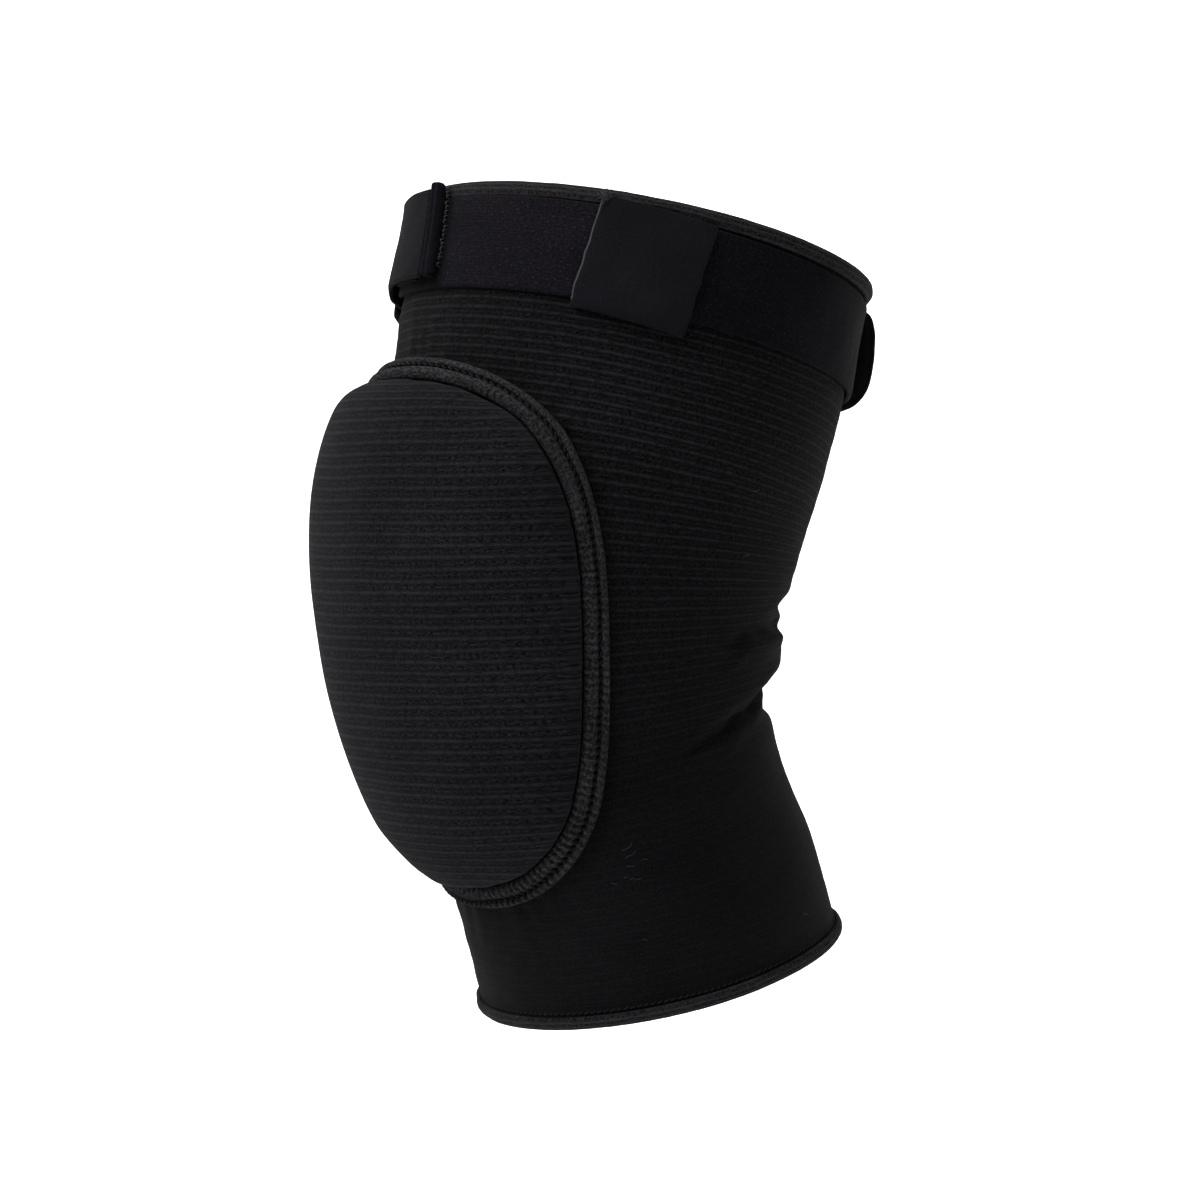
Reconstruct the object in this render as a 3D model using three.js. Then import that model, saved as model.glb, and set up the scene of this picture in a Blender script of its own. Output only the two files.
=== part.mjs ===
// A pull-on knee pad: a ribbed sleeve bent at the knee, a padded cup held by a sewn welt, and
// a thigh strap in three keepers. Millimetres, +Z up the leg, -Y the front of the knee,
// origin at the knee's centre.
import * as THREE from 'three';
import { ParametricGeometry } from 'three/addons/geometries/ParametricGeometry.js';
import { mergeVertices } from 'three/addons/utils/BufferGeometryUtils.js';

// The leg that the sleeve follows
const thighLength = 125; // knee centre to the top of the thigh hem, along the leg
const shinLength = 123; // knee centre to the foot of the shin hem
const thighLean = 12.5; // degrees that the thigh leans back, going up
const shinLean = 15.5; // degrees that the shin leans back, going down
const bendLength = 98; // stretch of the centre line that turns
const thighWidth = 150;
const thighFront = 71.5; // centre line to the front of the thigh rim
const thighBack = 80;
const kneeWidth = 120;
const kneeFront = 66;
const kneeBack = 68.5;
const shinWidth = 114;
const shinFront = 57.5;
const shinBack = 67.5;
const thighSlant = -1; // degrees that each rim is out of square with the leg
const shinSlant = -1.7;

// The sleeve and its hems
const wall = 2;
const fit = 0.3; // gap between pieces that touch
const bedding = 0.6; // gap under the pieces that lie across the sleeve's curve
const hemLeaf = 1.4; // thickness of a hem's folded cloth
const hemBulge = 0.15; // share of its cloth by which a hem bulges
const thighHemHeight = 4.5;
const shinHemHeight = 4.2;

// The creases behind the knee
const creaseMiddle = -17.5; // station half way between the two deep creases
const creaseSpan = 38; // distance between them
const creaseDepth = 7;
const creaseReach = 6; // half width of a crease, up and down
const creaseSpread = 50; // degrees that a crease runs to each side of the back

// The cup and the welt around it
const cupStation = -6.5; // station of the cup's middle
const cupHeight = 147; // outer edge of the welt, along the centre line
const cupGirth = 136.5; // outer edge of the welt, round the leg
const cupRise = 26;
const cupEdge = 2; // height of the cup where it meets the welt
const cupSquareness = 2.4; // power of the outline: 2 is an ellipse
const cupTaper = 0.13; // share by which the outline is wider at its top
const cupFullness = 0.22; // share by which the padding is thicker at its top
const cupLedge = 7; // the cup's edge stands this much higher in the middle of its top
const cupToe = 1.5; // and this much in the middle of its bottom
const domePower = 1.9; // fullness of the dome
const domeRound = 0.42; // how gentle the dome's edge is at its top and bottom
const domeSoft = 0.2; // how much gentler it is at its sides
const weltWidth = 8;
const weltHeight = 3.2;

// The strap and what is on it
const strapWidth = 30;
const strapThickness = 1.8;
const strapTilt = 1.2; // the strap sits this much higher in front and lower behind
const strapTail = 20; // degrees of the near end that lie under the outer end
const strapStop = -5; // degrees past the front where the outer end stops
const endSkew = 11; // degrees that the outer end is cut out of square
const strapClimb = 15; // degrees over which the outer end climbs on the near end
const endLift = 2.5; // the outer end sits this much higher up the leg
const hookThickness = 1.5;
const hookLength = 18;
const hookSetback = 5.5; // the hook patch stops this far short of the outer end
const endRoll = 4.6; // thickness of the folded end
const endRollTall = 32;
const keeperLength = 36; // along the strap
const keeperTall = 36;
const keeperCloth = 1.4;
const keeperOver = 1.7; // the keepers stand this far above the strap's upper edge
const keeperAngle = 57; // degrees from the front to the side keepers
const keeperSkew = 4; // degrees that the side keepers are turned
const keeperBow = 8; // power of a keeper's arch: 2 is round, more is flatter
const backKeeperAngle = 170;
const backKeeperTall = 35;
const backKeeperOver = 3.1;
const backKeeperGape = 6.5; // how far the back keeper bows off the strap
const backKeeperBow = 2.2;

// Sections of the sleeve up the leg: at is a share of the thigh's length, or of the shin's
// below 0, and each size is a share of the straight line from the knee's size to the rim's.
const sections = [
  { at: -1, width: 1, front: 1, back: 1 },
  { at: -0.72, width: 1.03, front: 0.96, back: 0.93 },
  { at: -0.45, width: 1.02, front: 0.975, back: 0.815 },
  { at: -0.2, width: 1, front: 0.99, back: 0.885 },
  { at: 0, width: 1, front: 1, back: 1 },
  { at: 0.3, width: 1.01, front: 1.03, back: 1.04 },
  { at: 0.65, width: 1.015, front: 1.06, back: 1.035 },
  { at: 0.92, width: 0.995, front: 1.01, back: 0.98 },
  { at: 1, width: 1, front: 1, back: 1 },
];

// Creases: at is a share of the span, depth, reach and spread are shares of the named ones.
const creases = [
  { at: 0.5, depth: 0.67, reach: 0.85, spread: 1 },
  { at: -0.5, depth: 1, reach: 1, spread: 1 },
  { at: 0, depth: -0.62, reach: 1.8, spread: 0.9 },
];

// The welt from its inner foot to its outer foot: inset is a share of its width, rise of its
// height and ledge of the cup's ledge. A wide inner ridge, the stitched groove, and a narrow
// outer ridge.
const weltProfile = [
  { inset: 1, rise: 0, ledge: 0 },
  { inset: 0.96, rise: 0.6, ledge: 1 },
  { inset: 0.72, rise: 1, ledge: 1 },
  { inset: 0.5, rise: 0.9, ledge: 0.97 },
  { inset: 0.36, rise: 0.35, ledge: 0.93 },
  { inset: 0.2, rise: 0.75, ledge: 0.85 },
  { inset: 0.04, rise: 0.55, ledge: 0.6 },
  { inset: 0, rise: 0, ledge: 0 },
];

// A hem from the end of its outer leaf round the fold to the end of its inner one. height is a
// share of the hem's height and leaf a number of cloths, both down from the fold. face is 1 on
// the outer face and 0 on the inner one, and sunk a number of cloths inwards from there.
const hemProfile = [
  { height: 1, leaf: 0, face: 1, sunk: 0 },
  { height: 0, leaf: 1.4, face: 1, sunk: -hemBulge },
  { height: 0, leaf: 0.25, face: 1, sunk: 0.6 },
  { height: 0, leaf: 0, face: 0.5, sunk: 0 },
  { height: 0, leaf: 0.25, face: 0, sunk: -0.6 },
  { height: 1, leaf: 0, face: 0, sunk: 0 },
  { height: 1, leaf: 0, face: 0, sunk: -1 },
  { height: 0, leaf: 1, face: 0, sunk: -1 },
  { height: 0, leaf: 1, face: 1, sunk: 1 },
  { height: 1, leaf: 0, face: 1, sunk: 1 },
];

// Grid sizes
const aroundLeg = 43;
const aroundCup = 50;
const plainStep = 12; // distance between the sleeve's rows
const creasedStep = 4; // the same over the creases
const cupRings = 8;
const strapSteps = 64;
const strapRows = 2;
const rollSides = 8;
const rollRows = 6;
const hookSteps = 5;
const keeperSteps = 5;
const keeperRows = 10;

const radians = THREE.MathUtils.degToRad;
const clamp = THREE.MathUtils.clamp;
const smooth = THREE.MathUtils.smoothstep;

// A smooth curve through the section table's column, by cubic pieces whose slopes are those
// of the neighbouring rows.
function column(name, at) {
  const last = sections.length - 1;
  let row = 0;
  while (row < last - 1 && at > sections[row + 1].at) {
    row += 1;
  }
  const slope = (i) => {
    const low = sections[Math.max(i - 1, 0)];
    const high = sections[Math.min(i + 1, last)];
    return (high[name] - low[name]) / (high.at - low.at);
  };
  const a = sections[row];
  const b = sections[row + 1];
  const run = b.at - a.at;
  const t = clamp((at - a.at) / run, 0, 1);
  const bend = a[name] * (2 * t ** 3 - 3 * t ** 2 + 1) + b[name] * (3 * t ** 2 - 2 * t ** 3);
  return bend + run * (slope(row) * (t ** 3 - 2 * t ** 2 + t) + slope(row + 1) * (t ** 3 - t ** 2));
}

function shareUpLeg(station) {
  return station >= 0 ? station / thighLength : station / shinLength;
}

// Half width, front depth and back depth of the sleeve's outer face at a station.
function sectionAt(station) {
  const at = shareUpLeg(station);
  const rim = at >= 0
    ? { width: thighWidth, front: thighFront, back: thighBack }
    : { width: shinWidth, front: shinFront, back: shinBack };
  const size = (name, knee) => (knee + (rim[name] - knee) * Math.abs(at)) * column(name, at);
  return {
    half: size('width', kneeWidth) / 2,
    front: size('front', kneeFront),
    back: size('back', kneeBack),
  };
}

// The leg's centre line: an arc through the knee and a straight run beyond each end of it.
function spineAt(station) {
  const start = radians(thighLean - shinLean) / 2;
  const turn = radians(thighLean + shinLean) / bendLength;
  const onArc = clamp(station, -bendLength / 2, bendLength / 2);
  const lean = start + turn * onArc;
  const beyond = station - onArc;
  return {
    y: (Math.cos(start) - Math.cos(lean)) / turn + beyond * Math.sin(lean),
    z: (Math.sin(lean) - Math.sin(start)) / turn + beyond * Math.cos(lean),
    lean,
  };
}

// How far the creases lift or sink the sleeve.
function creaseAt(station, angle) {
  const fromBack = Math.PI - Math.abs(Math.atan2(Math.sin(angle), Math.cos(angle)));
  let sink = 0;
  for (const crease of creases) {
    const up = (station - creaseMiddle - crease.at * creaseSpan) / (crease.reach * creaseReach);
    const side = fromBack / radians(crease.spread * creaseSpread);
    sink -= crease.depth * creaseDepth * Math.exp(-(up ** 2) - side ** 2);
  }
  return sink;
}

// A point on the sleeve: station along the leg, angle round it (0 in front, 90 degrees to +X)
// and height off the outer face.
function onSleeve(station, angle, height, target) {
  const { half, front, back } = sectionAt(station);
  const depth = Math.cos(angle) >= 0 ? front : back;
  const normal = new THREE.Vector2(Math.sin(angle) / half, -Math.cos(angle) / depth).normalize();
  const off = height + creaseAt(station, angle);
  const side = half * Math.sin(angle) + normal.x * off;
  const behind = -depth * Math.cos(angle) + normal.y * off;
  const slant = Math.tan(radians(station >= 0 ? thighSlant : shinSlant));
  const slide = slant * shareUpLeg(station) ** 2 * behind;
  const { y, z, lean } = spineAt(station);
  return target.set(
    side,
    y + behind * Math.cos(lean) + slide * Math.sin(lean),
    z - behind * Math.sin(lean) + slide * Math.cos(lean),
  );
}

// A closed skin over a grid of places, its seams welded and the triangles that a pole or an
// edge folds flat left out.
function skin(place, slices, stacks) {
  const sheet = new ParametricGeometry(place, slices, stacks);
  sheet.deleteAttribute('normal');
  sheet.deleteAttribute('uv');
  const welded = mergeVertices(sheet, 1e-3);
  const kept = [];
  for (let i = 0; i < welded.index.count; i += 3) {
    const corners = [0, 1, 2].map((k) => welded.index.getX(i + k));
    if (new Set(corners).size === 3) {
      kept.push(...corners);
    }
  }
  welded.setIndex(kept);
  welded.computeVertexNormals();
  return welded;
}

// A ring round the leg or the cup: point(share, row, target) places the profile's rows, which
// go up outside and down inside.
function ring(point, around, rows) {
  return skin((u, v, target) => {
    const step = Math.round(u * around) % around;
    const row = Math.round(v * rows) % rows;
    point(step / around, row, target);
  }, around, rows);
}

// A sheet with two faces and four edges: point(a, b, side, target) places it, a across from 0
// to 1, b along from 0 to 1, side from 0 on the inner face to 1 on the outer one.
function slab(point, across, along) {
  const loop = 2 * across + 2;
  return skin((u, v, target) => {
    const row = Math.round(v * loop) % loop;
    const outer = row <= across;
    const a = outer ? row / across : (loop - 1 - row) / across;
    const step = Math.round(u * (along + 2));
    const b = clamp((step - 1) / along, 0, 1);
    const capped = step === 0 || step === along + 2;
    const face = outer ? 1 : 0;
    point(a, b, capped ? 0.5 : face, target);
  }, along + 2, loop);
}

// Stations of the sleeve's rows from one end to the other, closer over the creases.
function sleeveStations() {
  const low = -shinLength + hemLeaf + fit;
  const high = thighLength - hemLeaf - fit;
  const creaseLow = creaseMiddle - creaseSpan / 2 - 2 * creaseReach;
  const creaseHigh = creaseMiddle + creaseSpan / 2 + 2 * creaseReach;
  const stations = [low];
  for (const [from, to, step] of [
    [low, -shinLength + shinHemHeight, plainStep],
    [-shinLength + shinHemHeight, creaseLow, plainStep],
    [creaseLow, creaseHigh, creasedStep],
    [creaseHigh, strapMiddle(0) - strapWidth / 2, plainStep],
    [strapMiddle(0) - strapWidth / 2, thighLength - thighHemHeight, plainStep],
    [thighLength - thighHemHeight, high, plainStep],
  ]) {
    const count = Math.ceil((to - from) / step);
    for (let i = 1; i <= count; i += 1) {
      stations.push(from + (to - from) * i / count);
    }
  }
  return stations;
}

// The sleeve is an open tube: the rows go up its outer face and down its inner one.
function sleeve() {
  const stations = sleeveStations();
  const rows = [...stations.map((at) => [at, 0]), ...stations.toReversed().map((at) => [at, -wall])];
  return ring((share, row, target) => {
    onSleeve(rows[row][0], share * 2 * Math.PI, rows[row][1], target);
  }, aroundLeg, rows.length);
}

// A hem is a U of cloth over the sleeve's rim. edge is the station of its fold and inward is
// 1 where the leg goes down from it and -1 where it goes up.
function hem(edge, inward, height) {
  const inner = -wall - fit - hemLeaf;
  const outer = fit + hemLeaf;
  const rows = inward > 0 ? hemProfile : hemProfile.toReversed();
  return ring((share, number, target) => {
    const row = rows[number];
    const fall = row.height * height + row.leaf * hemLeaf;
    const off = inner + (outer - inner) * row.face - row.sunk * hemLeaf;
    onSleeve(edge - inward * fall, share * 2 * Math.PI, off, target);
  }, aroundLeg, rows.length);
}

// The cup's outline on the sleeve laid flat, as girth and station from its middle: a rounded
// oval that is wider at its top. turn runs from 0 at the top towards +X.
function outline(turn) {
  const power = 2 / cupSquareness;
  const bow = (value) => Math.sign(value) * Math.abs(value) ** power;
  const up = cupHeight / 2 * bow(Math.cos(turn));
  const taper = 1 + cupTaper * 2 * up / cupHeight;
  return new THREE.Vector2(cupGirth / 2 * bow(Math.sin(turn)) * taper, up);
}

// The outline moved inwards by a distance, square to itself.
function insetOutline(turn, inset) {
  const step = 0.01;
  const along = outline(turn + step).sub(outline(turn - step)).normalize();
  return outline(turn).add(new THREE.Vector2(along.y, -along.x).multiplyScalar(inset));
}

// A point of the cup or the welt from its place on the flat sleeve.
function onFlat(flat, height, target) {
  const station = cupStation + flat.y;
  const { half, front } = sectionAt(station);
  return onSleeve(station, flat.x / ((half + front) / 2), height, target);
}

// How much higher the cup's edge and the welt stand at a turn round the outline.
function ledgeAt(turn) {
  return (Math.cos(turn) > 0 ? cupLedge : cupToe) * Math.cos(turn) ** 2;
}

// The padded cup: a dome from its middle to the welt, and an underside that lies on the sleeve.
function cup() {
  return skin((u, v, target) => {
    const turn = (Math.round(u * aroundCup) % aroundCup) / aroundCup * 2 * Math.PI;
    const row = Math.round(v * (2 * cupRings + 1));
    const upper = row <= cupRings;
    const ringRow = upper ? row : 2 * cupRings + 1 - row;
    const share = Math.sin(ringRow / cupRings * Math.PI / 2);
    const flat = insetOutline(turn, weltWidth + fit).multiplyScalar(share);
    const full = 1 + cupFullness * 2 * flat.y / cupHeight;
    const edge = cupEdge + ledgeAt(turn);
    const gentle = domeRound + domeSoft * Math.sin(turn) ** 2;
    const dome = Math.max(1 - share ** domePower, 0) ** gentle;
    const rise = edge + (cupEdge + cupRise * full - edge) * dome;
    onFlat(flat, upper ? rise : bedding, target);
  }, aroundCup, 2 * cupRings + 1);
}

function welt() {
  return ring((share, row, target) => {
    const { inset, rise, ledge } = weltProfile[row];
    const turn = share * 2 * Math.PI;
    const flat = insetOutline(turn, inset * weltWidth);
    const height = bedding + rise * (weltHeight - bedding) + ledge * ledgeAt(turn);
    onFlat(flat, height, target);
  }, aroundCup, weltProfile.length);
}

// The strap's middle at an angle round the leg.
function strapMiddle(angle) {
  const under = thighLength - thighHemHeight - strapTilt - fit;
  return under - strapWidth / 2 + strapTilt * Math.cos(angle);
}

const strapBase = bedding;
const overStrap = strapBase + strapThickness + fit; // underside of what lies on the strap
const overHook = overStrap + hookThickness + fit; // underside of the outer end
const onHem = 2 * fit + (1 + hemBulge) * hemLeaf; // clear of the hem's outer face
const clearOfHem = (onHem - strapBase) / (overHook - strapBase); // climb that clears the hem
const farStart = 2 * Math.PI + radians(strapStop); // the outer end, after a full turn

// 0 where the strap lies on the sleeve, 1 where its outer end lies over its near end.
function climb(angle) {
  const top = farStart - radians(strapTail) - strapAngle(strapThickness);
  return smooth(angle, top - radians(strapClimb), top);
}

// The strap runs from its near end, under the outer end, once round the leg.
function strap() {
  const start = radians(strapStop - strapTail);
  return slab((across, along, side, target) => {
    const square = farStart + (start - farStart) * (1 - along);
    const raised = climb(square);
    const up = (across - 0.5) * strapWidth;
    const angle = square + skewAngle(up) * raised;
    const station = strapMiddle(angle) + endLift * smooth(raised, clearOfHem, 1) + up;
    const under = strapBase + (overHook - strapBase) * raised;
    onSleeve(station, angle, under + side * strapThickness, target);
  }, strapRows, strapSteps);
}

// Millimetres along the strap as an angle round the leg.
function strapAngle(length) {
  const { half, front } = sectionAt(strapMiddle(0));
  return length / ((half + front) / 2);
}

// How far round the leg the skewed end moves at a height above the strap's middle.
function skewAngle(up) {
  return -strapAngle(up * Math.tan(radians(endSkew)));
}

// The folded end: a round roll across the strap's outer end.
function strapEndFold() {
  const reach = strapAngle(endRoll + fit);
  const start = farStart + strapAngle(fit);
  return skin((u, v, target) => {
    const turn = (Math.round(u * rollSides) % rollSides) / rollSides * 2 * Math.PI;
    const row = Math.round(v * rollRows);
    const capped = row === 0 || row === rollRows;
    const size = capped ? 0 : 0.5;
    const middle = (endRollTall - strapWidth) / 2;
    const share = clamp(row - 1, 0, rollRows - 2) / (rollRows - 2);
    const up = middle + (share - 0.5) * endRollTall;
    const angle = start + reach * (0.5 - size * Math.cos(turn)) + skewAngle(up);
    const height = overStrap + endRoll * (0.5 + size * Math.sin(turn));
    const station = strapMiddle(angle) + endLift + up;
    onSleeve(station, angle, height, target);
  }, rollSides, rollRows);
}

// The hook patch that holds the outer end on the near end.
function hookPatch() {
  const last = farStart - strapAngle(hookSetback);
  const first = last - strapAngle(hookLength);
  return slab((across, along, side, target) => {
    const up = (across - 0.5) * (strapWidth - 2 * endLift);
    const angle = first + (last - first) * along + skewAngle(up);
    const station = strapMiddle(angle) + up;
    onSleeve(station, angle, overStrap + side * hookThickness, target);
  }, 1, hookSteps);
}

// A keeper is a patch over the strap: its cloth rises from the sleeve below the strap, goes
// over it and ends on the hem.
function keeper(middle, { tall, stand, gape, bow, skew }) {
  const over = overStrap + gape;
  return slab((across, along, side, target) => {
    const swing = 0.5 - 0.5 * Math.cos(Math.PI * across);
    const up = 2 * swing - 1;
    const arch = Math.max(1 - Math.abs(up) ** bow, 0) ** (1 / bow);
    const length = (along - 0.5) * keeperLength;
    const foot = up > 0 ? overStrap : bedding;
    const narrow = (tall - 2 * keeperCloth * (1 - side)) / 2;
    const tilt = radians(skew);
    const angle = middle + strapAngle(length * Math.cos(tilt) - up * narrow * Math.sin(tilt));
    const rise = stand - (tall - strapWidth) / 2;
    const lift = rise + up * narrow * Math.cos(tilt) + length * Math.sin(tilt);
    const height = foot + (over - foot + side * keeperCloth) * arch;
    onSleeve(strapMiddle(angle) + lift, angle, height, target);
  }, keeperRows, keeperSteps);
}

function cloth(colour, roughness) {
  return new THREE.MeshStandardMaterial({ color: colour, roughness, metalness: 0 });
}

const sideKeeper = {
  tall: keeperTall, stand: keeperOver, gape: 0, bow: keeperBow, skew: keeperSkew,
};
const looseKeeper = {
  tall: backKeeperTall, stand: backKeeperOver, gape: backKeeperGape, bow: backKeeperBow, skew: 0,
};

const knit = cloth('#1a1a1c', 0.95);
const cupKnit = cloth('#232226', 0.92);
const hemKnit = cloth('#2c2b2f', 0.9);
const sateen = cloth('#25242b', 0.6);
const loopCloth = cloth('#19191b', 1);
const hookCloth = cloth('#101012', 0.8);

const kneePad = new THREE.Group();
for (const [name, geometry, material] of [
  ['sleeve', sleeve(), knit],
  ['thigh_hem', hem(thighLength, 1, thighHemHeight), hemKnit],
  ['shin_hem', hem(-shinLength, -1, shinHemHeight), hemKnit],
  ['knee_cup', cup(), cupKnit],
  ['cup_seam', welt(), cupKnit],
  ['strap', strap(), sateen],
  ['strap_end_fold', strapEndFold(), sateen],
  ['hook_patch', hookPatch(), hookCloth],
  ['keeper_near', keeper(radians(keeperAngle), { ...sideKeeper, skew: -keeperSkew }), loopCloth],
  ['keeper_far', keeper(radians(-keeperAngle), sideKeeper), loopCloth],
  ['keeper_back', keeper(radians(backKeeperAngle), looseKeeper), loopCloth],
]) {
  const mesh = new THREE.Mesh(geometry, material);
  mesh.name = name;
  kneePad.add(mesh);
}

export default kneePad;
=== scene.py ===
import math
import bpy
import numpy as np
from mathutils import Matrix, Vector


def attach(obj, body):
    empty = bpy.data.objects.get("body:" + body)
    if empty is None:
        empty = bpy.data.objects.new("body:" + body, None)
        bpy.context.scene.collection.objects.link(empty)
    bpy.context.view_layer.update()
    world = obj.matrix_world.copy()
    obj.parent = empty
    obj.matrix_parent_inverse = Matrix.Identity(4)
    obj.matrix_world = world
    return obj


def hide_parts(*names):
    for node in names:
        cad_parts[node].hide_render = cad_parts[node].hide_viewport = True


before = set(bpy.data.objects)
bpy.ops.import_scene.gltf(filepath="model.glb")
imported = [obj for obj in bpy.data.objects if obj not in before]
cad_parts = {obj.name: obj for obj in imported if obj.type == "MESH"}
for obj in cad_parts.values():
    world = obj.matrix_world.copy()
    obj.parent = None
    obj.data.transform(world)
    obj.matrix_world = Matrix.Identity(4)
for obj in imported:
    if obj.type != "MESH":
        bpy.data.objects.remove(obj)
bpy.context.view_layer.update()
print("frame: loaded")

# Lengths below are millimetres and angles degrees, unless a note says otherwise.
# A place on the leg is its station up the leg, its angle round it (0 in front, 90 to +X)
# and its height off the sleeve's outer face.

view = {"azimuth": 53.9, "elevation": 1.6, "target": (0, 2.9, 5.05), "distance": 1200,
        "lens": 110.27}


def makeCamera():
    # stands at the target plus the distance along the view's direction, looking back at it
    turn = math.radians(view["azimuth"])
    lift = math.radians(view["elevation"])
    back = Vector((math.sin(turn) * math.cos(lift), -math.cos(turn) * math.cos(lift),
                   math.sin(lift)))
    data = bpy.data.cameras.new("camera")
    data.sensor_fit = "HORIZONTAL"
    data.sensor_width = 36
    data.lens = view["lens"]
    data.clip_end = 20
    camera = bpy.data.objects.new("camera", data)
    camera.location = (Vector(view["target"]) + back * view["distance"]) / 1000
    camera.rotation_euler = (-back).to_track_quat("-Z", "Y").to_euler()
    bpy.context.collection.objects.link(camera)
    bpy.context.scene.camera = camera
    return camera


makeCamera()
print("camera: placed")

# The leg that every piece lies on

leg = {"thighLength": 125, "shinLength": 123, "thighLean": 12.5, "shinLean": 15.5, "bend": 98,
       "thighWidth": 150, "thighFront": 71.5, "thighBack": 80,
       "kneeWidth": 120, "kneeFront": 66, "kneeBack": 68.5,
       "shinWidth": 114, "shinFront": 57.5, "shinBack": 67.5,
       "thighSlant": -1, "shinSlant": -1.7,
       "creaseMiddle": -17.5, "creaseSpan": 38, "creaseDepth": 7, "creaseReach": 6,
       "creaseSpread": 50}
# share up the leg, then width, front and back as shares of the straight taper
legSections = np.array([
    (-1, 1, 1, 1), (-0.72, 1.03, 0.96, 0.93), (-0.45, 1.02, 0.975, 0.815),
    (-0.2, 1, 0.99, 0.885), (0, 1, 1, 1), (0.3, 1.01, 1.03, 1.04),
    (0.65, 1.015, 1.06, 1.035), (0.92, 0.995, 1.01, 0.98), (1, 1, 1, 1)])
# place in the span, then depth, reach and spread as shares of the leg's own
legCreases = [(0.5, 0.67, 0.85, 1), (-0.5, 1, 1, 1), (0, -0.62, 1.8, 0.9)]


def column(number, share):
    # cubic through the table's rows, each row's slope taken between its two neighbours
    at, value = legSections[:, 0], legSections[:, number]
    low = np.r_[0, np.arange(len(at) - 1)]
    high = np.r_[np.arange(1, len(at)), len(at) - 1]
    slope = (value[high] - value[low]) / (at[high] - at[low])
    row = np.clip(np.searchsorted(at, share, side="right") - 1, 0, len(at) - 2)
    run = at[row + 1] - at[row]
    t = np.clip((share - at[row]) / run, 0, 1)
    bend = value[row] * (2 * t**3 - 3 * t**2 + 1) + value[row + 1] * (3 * t**2 - 2 * t**3)
    return bend + run * (slope[row] * (t**3 - 2 * t**2 + t) + slope[row + 1] * (t**3 - t**2))


def shareUpLeg(station):
    return station / np.where(station >= 0, leg["thighLength"], leg["shinLength"])


def sectionAt(station):
    # each size runs straight from the knee's to the rim's, times its column of the table
    share = shareUpLeg(station)

    def size(name, number):
        rim = np.where(share >= 0, leg["thigh" + name], leg["shin" + name])
        knee = leg["knee" + name]
        return (knee + (rim - knee) * abs(share)) * column(number, share)

    return size("Width", 1) / 2, size("Front", 2), size("Back", 3)


def creaseAt(station, angle):
    # minus the sum of each crease's depth times a bell up the leg and a bell round from the back
    fromBack = math.pi - abs(np.arctan2(np.sin(angle), np.cos(angle)))
    sink = 0
    for at, depth, reach, spread in legCreases:
        up = station - leg["creaseMiddle"] - at * leg["creaseSpan"]
        up = up / (reach * leg["creaseReach"])
        side = fromBack / math.radians(spread * leg["creaseSpread"])
        sink = sink - depth * leg["creaseDepth"] * np.exp(-up**2 - side**2)
    return sink


def onLeg(station, angle, height):
    # an ellipse of half width, front and back depth, square to a centre line that is an arc
    # through the knee with straight ends, moved out along its normal by height and crease
    station, angle, height = np.broadcast_arrays(
        np.asarray(station, float), np.asarray(angle, float), np.asarray(height, float))
    half, front, back = sectionAt(station)
    depth = np.where(np.cos(angle) >= 0, front, back)
    across, along = np.sin(angle) / half, -np.cos(angle) / depth
    length = np.hypot(across, along)
    off = height + creaseAt(station, angle)
    side = half * np.sin(angle) + across / length * off
    behind = -depth * np.cos(angle) + along / length * off
    slant = np.where(station >= 0, math.tan(math.radians(leg["thighSlant"])),
                     math.tan(math.radians(leg["shinSlant"])))
    slide = slant * shareUpLeg(station)**2 * behind
    start = math.radians(leg["thighLean"] - leg["shinLean"]) / 2
    turn = math.radians(leg["thighLean"] + leg["shinLean"]) / leg["bend"]
    onArc = np.clip(station, -leg["bend"] / 2, leg["bend"] / 2)
    lean = start + turn * onArc
    y = (math.cos(start) - np.cos(lean)) / turn + (station - onArc) * np.sin(lean)
    z = (np.sin(lean) - math.sin(start)) / turn + (station - onArc) * np.cos(lean)
    return np.stack([side, y + behind * np.cos(lean) + slide * np.sin(lean),
                     z - behind * np.sin(lean) + slide * np.cos(lean)], -1)


def smooth(value, low, high):
    t = np.clip((value - low) / (high - low), 0, 1)
    return t * t * (3 - 2 * t)


def ripple(u, v, size, seed, waves=14):
    # smooth noise from -1 to 1: a sum of sine waves of about one size in seeded directions
    random = np.random.default_rng(seed)
    total = 0
    for way, phase, scale in zip(random.uniform(0, math.pi, waves), random.uniform(0, 7, waves),
                                 random.uniform(0.7, 1.5, waves)):
        step = 2 * math.pi / (size * scale)
        total = total + np.sin(step * (u * math.cos(way) + v * math.sin(way)) + phase)
    return total / math.sqrt(waves) / 1.6


# Meshes

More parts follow.
